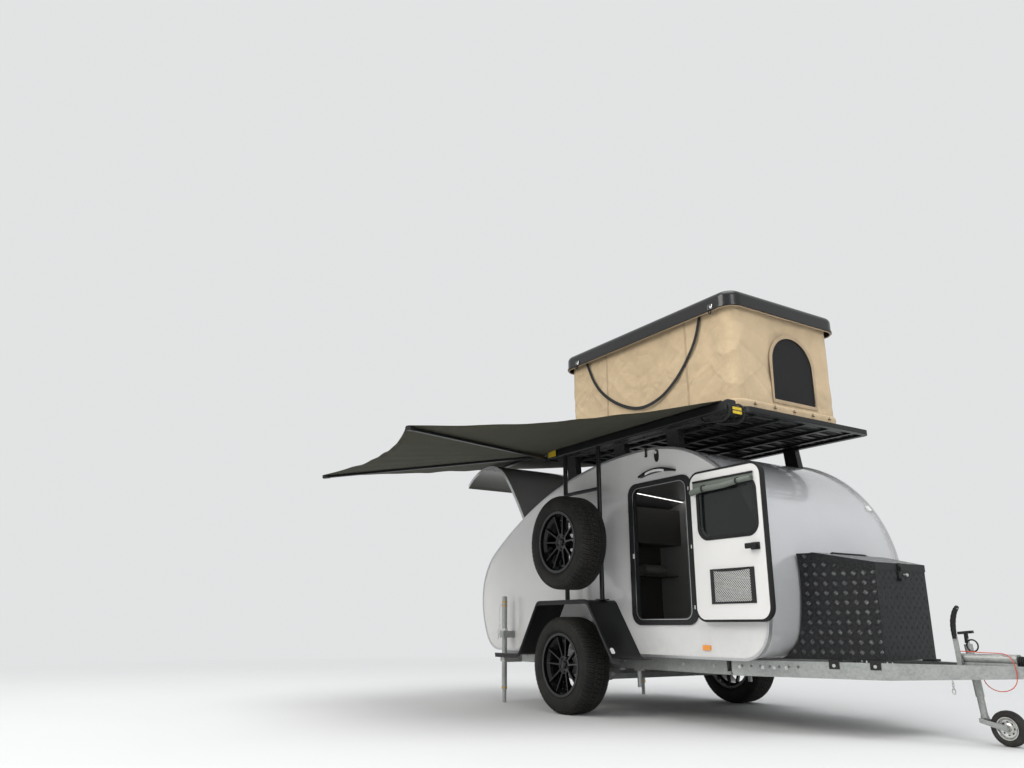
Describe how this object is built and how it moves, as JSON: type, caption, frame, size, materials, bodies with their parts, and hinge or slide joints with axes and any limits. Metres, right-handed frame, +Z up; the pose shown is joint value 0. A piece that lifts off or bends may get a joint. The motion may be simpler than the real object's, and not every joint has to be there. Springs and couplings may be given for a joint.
{
  "type": "teardrop trailer",
  "caption": "Teardrop camping trailer with a pop-up roof tent, fan awning, side spare wheel, drawbar tool box and jockey wheel, parked with one door and the tailgate open.",
  "frame": {"origin": "middle of the tow ball's place in the coupling head", "axes": "+X forward towards the towing vehicle, +Y to the trailer's left, +Z up; the ground is at z = -0.430 m"},
  "size_m": [5.7661, 3.985, 3.129],
  "materials": {
    "white_paint": "pale silver-white gelcoat, glossy",
    "silver_skin": "silver sheet, glossy",
    "edge_metal": "satin extrusion",
    "black_metal": "satin powder coat",
    "gate_skin": "glossy outer skin",
    "galvanised": "dull zinc with spangle",
    "chequer_plate": "black raised-bar plate",
    "rim_black": "gloss black alloy",
    "tyre_rubber": "matt rubber",
    "black_rubber": "matt rubber",
    "black_plastic": "moulded, fine grain",
    "lamp_plastic": "amber and red lenses",
    "window_glass": "dark tint",
    "tent_canvas": "tan woven canvas",
    "tent_mesh": "fine black net",
    "strap_web": "black webbing",
    "awning_cloth": "olive-grey rip-stop canvas",
    "bedding": "pale quilted cloth",
    "cabinet_board": "laminated board",
    "cable_red": "red sheath"
  },
  "bodies": {
    "trailer": {"awning_arms": "black_metal", "awning_canvas": "awning_cloth", "awning_case": "black_metal", "axle_beam": "galvanised", "bellows": "black_rubber", "blankets": "bedding", "box_brackets": "black_metal", "brake_lever": "galvanised", "breakaway_cable": "cable_red", "cabin_locker": "cabinet_board", "coupling_head": "black_metal", "crossmembers": "galvanised", "door_frames": "black_metal", "drawbar_legs": "galvanised", "edge_trims": "edge_metal", "floor_panel": "cabinet_board", "galley": "cabinet_board", "jockey_sleeve": "galvanised", "lamps": "lamp_plastic", "mattress": "bedding", "mudguards": "black_metal", "overrun_housing": "galvanised", "rack_feet": "black_metal", "roof_rack": "black_metal", "roof_skin": "silver_skin", "side_fittings": "black_plastic", "side_members": "galvanised", "side_panel_left": "white_paint", "side_panel_right": "white_paint", "spare_carrier": "black_metal", "spare_rim": "rim_black", "spare_tyre": "tyre_rubber", "steady_clamps": "galvanised", "swing_arms": "galvanised", "tail_skirt": "silver_skin", "tent_base": "black_plastic", "tent_strap": "strap_web", "tent_walls": "tent_canvas", "tent_window": "tent_mesh", "tool_box": "chequer_plate"},
    "wheel_right": {"tyre_right": "tyre_rubber", "rim_right": "rim_black", "hub_right": "galvanised"},
    "wheel_left": {"tyre_left": "tyre_rubber", "rim_left": "rim_black", "hub_left": "galvanised"},
    "door_right": {"door_right": "white_paint", "door_window_right": "window_glass"},
    "door_left": {"door_left": "white_paint", "door_window_left": "window_glass"},
    "tailgate": {"tailgate": "gate_skin"},
    "tool_box_lid": {"tool_box_lid": "chequer_plate"},
    "steady_right": {"steady_right": "galvanised"},
    "steady_left": {"steady_left": "galvanised"},
    "jockey_leg": {"jockey_leg": "galvanised"},
    "jockey_fork": {"jockey_fork": "galvanised"},
    "jockey_wheel": {"jockey_wheel": "black_rubber"},
    "tent_lid": {"tent_lid": "black_plastic"}
  },
  "joints": [
    {"name": "wheel_right_spin", "type": "hinge", "parent": "trailer", "child": "wheel_right", "pos_m": [-3.27, -0.952, -0.0625], "axis": [0, 1, 0], "continuous": true},
    {"name": "wheel_left_spin", "type": "hinge", "parent": "trailer", "child": "wheel_left", "pos_m": [-3.27, 0.952, -0.0625], "axis": [0, 1, 0], "continuous": true},
    {"name": "door_right_hinge", "type": "hinge", "parent": "trailer", "child": "door_right", "pos_m": [-2.02, -0.786, 0.78], "axis": [0, 0, 1], "range_deg": [-180, 0]},
    {"name": "door_left_hinge", "type": "hinge", "parent": "trailer", "child": "door_left", "pos_m": [-2.02, 0.786, 0.78], "axis": [0, 0, -1], "range_deg": [0, 180]},
    {"name": "tailgate_hinge", "type": "hinge", "parent": "trailer", "child": "tailgate", "pos_m": [-4.27, 0, 1.187], "axis": [0, 1, 0], "range_deg": [-85, 0]},
    {"name": "tool_box_lid_hinge", "type": "hinge", "parent": "trailer", "child": "tool_box_lid", "pos_m": [-1.308, 0, 0.712], "axis": [0, -1, 0], "range_deg": [0, 75]},
    {"name": "steady_right_slide", "type": "slide", "parent": "trailer", "child": "steady_right", "axis": [0, 0, 1], "range_m": [0, 0.35]},
    {"name": "steady_left_slide", "type": "slide", "parent": "trailer", "child": "steady_left", "axis": [0, 0, 1], "range_m": [0, 0.35]},
    {"name": "jockey_jack", "type": "slide", "parent": "trailer", "child": "jockey_leg", "axis": [0.0872, 0, -0.9962], "range_m": [-0.06, 0.05]},
    {"name": "jockey_swivel", "type": "hinge", "parent": "jockey_leg", "child": "jockey_fork", "pos_m": [-0.5667, 0.07, -0.2735], "axis": [0.0872, 0, -0.9962], "continuous": true},
    {"name": "jockey_wheel_spin", "type": "hinge", "parent": "jockey_fork", "child": "jockey_wheel", "pos_m": [-0.4347, 0.07, -0.332], "axis": [0, 1, 0], "continuous": true},
    {"name": "tent_lid_lift", "type": "slide", "parent": "trailer", "child": "tent_lid", "axis": [0, 0, 1], "range_m": [-0.69, 0], "deforming": ["tent_walls", "tent_window", "tent_strap"]}
  ]
}
